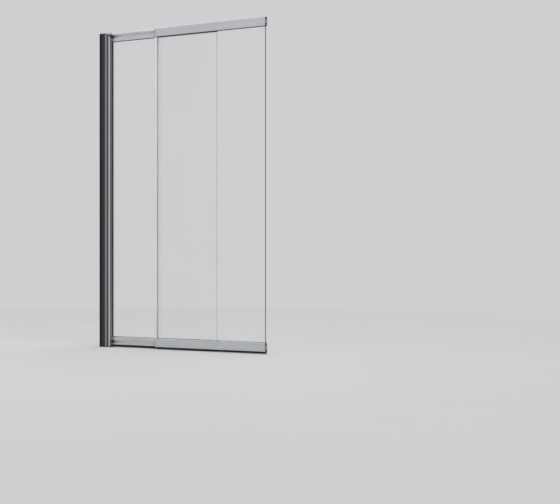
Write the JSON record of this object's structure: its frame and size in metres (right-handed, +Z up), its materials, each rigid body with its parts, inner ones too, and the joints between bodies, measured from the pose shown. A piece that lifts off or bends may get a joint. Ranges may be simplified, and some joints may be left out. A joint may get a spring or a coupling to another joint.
{
  "type": "sliding glass bath screen",
  "caption": "Glass bath screen with a fixed pane beside the wall and a pane that slides in front of it on rollers in slotted metal rails.",
  "frame": {"origin": "on the wall plane, at the centre of the wall screw holes: the middle of the height and depth of the wall profile", "axes": "+X from the wall along the screen, +Y into the bath, +Z up"},
  "size_m": [0.825, 0.0382, 1.4],
  "materials": {
    "bright_aluminium": "polished and bright anodised",
    "steel": "satin",
    "zinc": "die cast",
    "clear_glass": "clear, toughened",
    "clear_vinyl": "translucent, flexible",
    "black_rubber": "matt",
    "grey_rubber": "matt",
    "black_plastic": "matt",
    "nylon": "natural nylon"
  },
  "bodies": {
    "frame": {"wall_profile": "bright_aluminium", "channel_seals": "black_rubber", "post_profile": "bright_aluminium", "post_top_plug": "black_plastic", "post_top_cap": "bright_aluminium", "post_foot": "black_plastic", "post_lock_screws": "steel", "post_gasket": "black_rubber", "fixed_glass": "clear_glass", "fixed_top_rail": "bright_aluminium", "fixed_bottom_rail": "bright_aluminium", "fixed_top_gasket": "black_rubber", "fixed_bottom_gasket": "black_rubber", "top_track_stop": "black_plastic", "bottom_track_stop": "black_plastic", "fixed_top_end_cap": "black_plastic", "fixed_bottom_end_cap": "black_plastic", "track_stop_screws": "steel", "rail_fixing_screws": "steel", "fixed_bottom_seal": "black_rubber"},
    "slider": {"sliding_glass": "clear_glass", "sliding_top_rail": "bright_aluminium", "sliding_bottom_rail": "bright_aluminium", "sliding_top_gasket": "black_rubber", "sliding_bottom_gasket": "black_rubber", "top_rear_end_cap": "black_plastic", "top_front_end_cap": "black_plastic", "bottom_rear_end_cap": "black_plastic", "bottom_front_end_cap": "black_plastic", "end_cap_screws": "steel", "sliding_edge_seal": "clear_vinyl", "sliding_bottom_seal": "black_rubber", "end_cap_buffers": "grey_rubber", "top_roller_blocks": "zinc", "bottom_roller_blocks": "zinc", "top_roller_axles": "steel", "bottom_roller_axles": "steel", "roller_block_screws": "steel"},
    "top_rear_wheel": {"top_rear_roller": "nylon", "top_rear_bearing": "steel"},
    "top_front_wheel": {"top_front_roller": "nylon", "top_front_bearing": "steel"},
    "bottom_rear_wheel": {"bottom_rear_roller": "nylon", "bottom_rear_bearing": "steel"},
    "bottom_front_wheel": {"bottom_front_roller": "nylon", "bottom_front_bearing": "steel"}
  },
  "joints": [
    {"name": "panel_slide", "type": "slide", "parent": "frame", "child": "slider", "axis": [1, 0, 0], "range_m": [-0.219, 0.178]},
    {"name": "top_rear_roll", "type": "hinge", "parent": "slider", "child": "top_rear_wheel", "pos_m": [0.31, 0.0075, 0.68575], "axis": [0, 1, 0], "range_deg": [-1170, 945]},
    {"name": "top_front_roll", "type": "hinge", "parent": "slider", "child": "top_front_wheel", "pos_m": [0.383, 0.0075, 0.68575], "axis": [0, 1, 0], "range_deg": [-1170, 945]},
    {"name": "bottom_rear_roll", "type": "hinge", "parent": "slider", "child": "bottom_rear_wheel", "pos_m": [0.31, 0.0075, -0.67575], "axis": [0, 1, 0], "range_deg": [-1170, 945]},
    {"name": "bottom_front_roll", "type": "hinge", "parent": "slider", "child": "bottom_front_wheel", "pos_m": [0.383, 0.0075, -0.67575], "axis": [0, 1, 0], "range_deg": [-1170, 945]}
  ],
  "couplings": [
    {"joint": "top_rear_roll", "follows": "panel_slide", "rad_per_m": 91.324},
    {"joint": "top_front_roll", "follows": "panel_slide", "rad_per_m": 91.324},
    {"joint": "bottom_rear_roll", "follows": "panel_slide", "rad_per_m": 91.324},
    {"joint": "bottom_front_roll", "follows": "panel_slide", "rad_per_m": 91.324}
  ]
}
